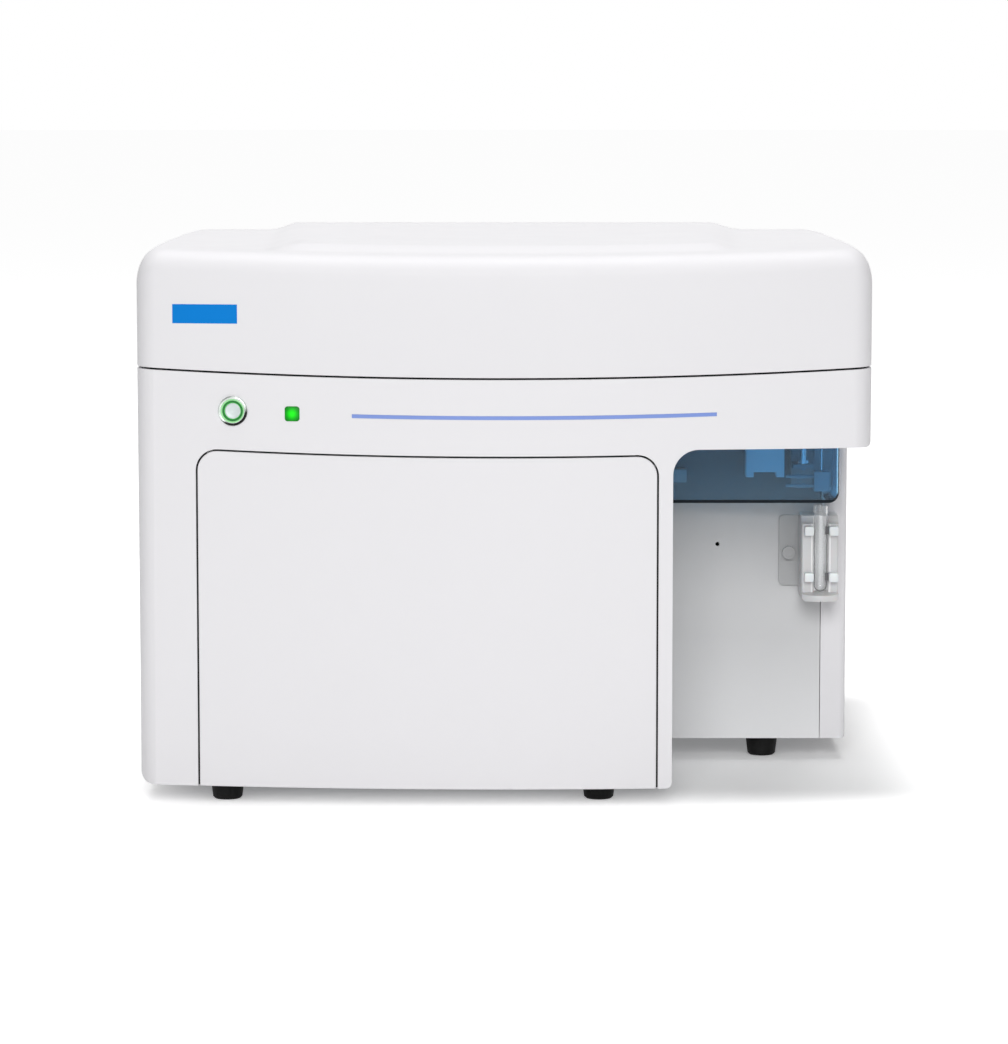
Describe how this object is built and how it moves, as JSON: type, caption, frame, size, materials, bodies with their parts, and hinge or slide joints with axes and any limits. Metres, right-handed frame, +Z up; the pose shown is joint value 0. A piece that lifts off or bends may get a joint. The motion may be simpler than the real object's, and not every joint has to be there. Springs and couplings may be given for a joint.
{
  "type": "flow cytometer",
  "caption": "Bench flow cytometer with a rear-hinged top cover, a side-hinged fluidics door, a splash-shielded sample probe and a clip-in tube holder.",
  "frame": {"origin": "on the bench under the centre of the instrument's box", "axes": "+X to the right seen from the front, +Y to the back, +Z up"},
  "size_m": [0.5984, 0.65, 0.4638],
  "materials": {
    "cover_white": "satin white moulded plastic",
    "recess_grey": "fine matt pale grey paint on moulding",
    "rear_grey": "powder coated sheet",
    "sheet_steel": "zinc plated sheet",
    "machined_alu": "anodised",
    "bright_steel": "polished",
    "brushed_steel": "brushed",
    "black_plastic": "matt black",
    "black_anodised": "black anodised",
    "black_rubber": "moulded rubber",
    "green_light": "lit diffuser",
    "blue_light": "lit diffuser",
    "blue_clear": "tinted clear acrylic",
    "blue_plastic": "moulded",
    "clear_plastic": "clear polystyrene and glass",
    "pale_plastic": "moulded",
    "white_nylon": "moulded nylon",
    "circuit_green": "solder mask"
  },
  "bodies": {
    "case": {"body_hinge_leaves": "bright_steel", "lid_hinge_pins": "bright_steel", "seam_gasket": "black_rubber", "front_frame": "cover_white", "door_hinge_brackets": "brushed_steel", "door_hinge_pins": "bright_steel", "door_catches": "black_anodised", "left_side_panel": "cover_white", "right_side_panel": "cover_white", "recess_wall": "recess_grey", "recess_side_wall": "recess_grey", "overhang_floor": "recess_grey", "base_pan": "sheet_steel", "chassis_walls": "sheet_steel", "deck_plate": "machined_alu", "rear_panel": "rear_grey", "feet": "black_rubber", "button_bezel": "bright_steel", "status_lights": "green_light", "light_strip": "blue_light", "probe_shield": "blue_clear", "shield_rim": "black_plastic", "probe_frame": "machined_alu", "probe_motor": "black_anodised", "wash_station": "pale_plastic", "level_sensor": "blue_plastic", "tube_holder": "pale_plastic", "holder_clips": "white_nylon", "optical_bench": "machined_alu", "bench_dampers": "black_rubber", "laser_heads": "black_anodised", "beam_optics": "brushed_steel", "flow_cell": "black_anodised", "detector_arrays": "black_anodised", "power_supply": "sheet_steel", "main_board": "circuit_green", "fluidics_plate": "machined_alu", "syringe_pump": "pale_plastic", "syringe_barrel": "clear_plastic", "pump_heads": "pale_plastic", "valve_manifold": "pale_plastic", "sheath_filter": "clear_plastic", "cooling_fan": "black_plastic", "rear_connectors": "black_plastic"},
    "top_cover": {"top_cover": "cover_white", "lid_frame": "sheet_steel", "lid_hinge_leaves": "bright_steel"},
    "front_door": {"front_door": "cover_white", "door_hinge_arms": "brushed_steel"},
    "power_button": {"button_cap": "machined_alu"},
    "mains_rocker": {"mains_rocker": "black_plastic"},
    "probe_carriage": {"probe_carriage": "black_plastic", "sample_probe": "bright_steel"},
    "lead_screw": {"probe_lead_screw": "bright_steel"},
    "sample_tube": {"sample_tube": "clear_plastic"},
    "holder_screw": {"holder_screw": "pale_plastic"},
    "fan": {"fan_rotor": "black_plastic"},
    "pump_left": {"pump_rotor_left": "black_plastic"},
    "pump_right": {"pump_rotor_right": "black_plastic"},
    "syringe_plunger": {"syringe_plunger": "bright_steel"}
  },
  "joints": [
    {"name": "cover_hinge", "type": "hinge", "parent": "case", "child": "top_cover", "pos_m": [0, 0.321, 0.36007], "axis": [-1, 0, 0], "range_deg": [0, 65]},
    {"name": "door_hinge", "type": "hinge", "parent": "case", "child": "front_door", "pos_m": [-0.282, -0.29, 0.156], "axis": [0, 0, -1], "range_deg": [0, 95]},
    {"name": "power_button_press", "type": "slide", "parent": "case", "child": "power_button", "axis": [0.1338, 0.991, 0], "range_m": [0, 0.0015], "stiffness_N_per_m": 600},
    {"name": "mains_rocker_tilt", "type": "hinge", "parent": "case", "child": "mains_rocker", "pos_m": [-0.215, 0.309, 0.134], "axis": [-1, 0, 0], "range_deg": [0, 12]},
    {"name": "probe_travel", "type": "slide", "parent": "case", "child": "probe_carriage", "axis": [0, 0, -1], "range_m": [0, 0.084]},
    {"name": "lead_screw_spin", "type": "hinge", "parent": "case", "child": "lead_screw", "pos_m": [0.259, -0.086, 0.33], "axis": [0, 0, 1], "range_deg": [-10, 3030]},
    {"name": "tube_removal", "type": "slide", "parent": "case", "child": "sample_tube", "axis": [0, -1, 0], "range_m": [0, 0.08]},
    {"name": "holder_screw_turn", "type": "hinge", "parent": "case", "child": "holder_screw", "pos_m": [0.2482, -0.07, 0.1827], "axis": [0, 1, 0], "continuous": true},
    {"name": "fan_spin", "type": "hinge", "parent": "case", "child": "fan", "pos_m": [0.12, 0.3, 0.226], "axis": [0, 1, 0], "continuous": true},
    {"name": "pump_left_spin", "type": "hinge", "parent": "case", "child": "pump_left", "pos_m": [-0.092, -0.195, 0.098], "axis": [0, 1, 0], "continuous": true},
    {"name": "pump_right_spin", "type": "hinge", "parent": "case", "child": "pump_right", "pos_m": [0.002, -0.195, 0.098], "axis": [0, 1, 0], "continuous": true},
    {"name": "syringe_travel", "type": "slide", "parent": "case", "child": "syringe_plunger", "axis": [0, 0, -1], "range_m": [0, 0.05]}
  ],
  "couplings": [
    {"joint": "lead_screw_spin", "follows": "probe_travel", "rad_per_m": 628.32}
  ]
}
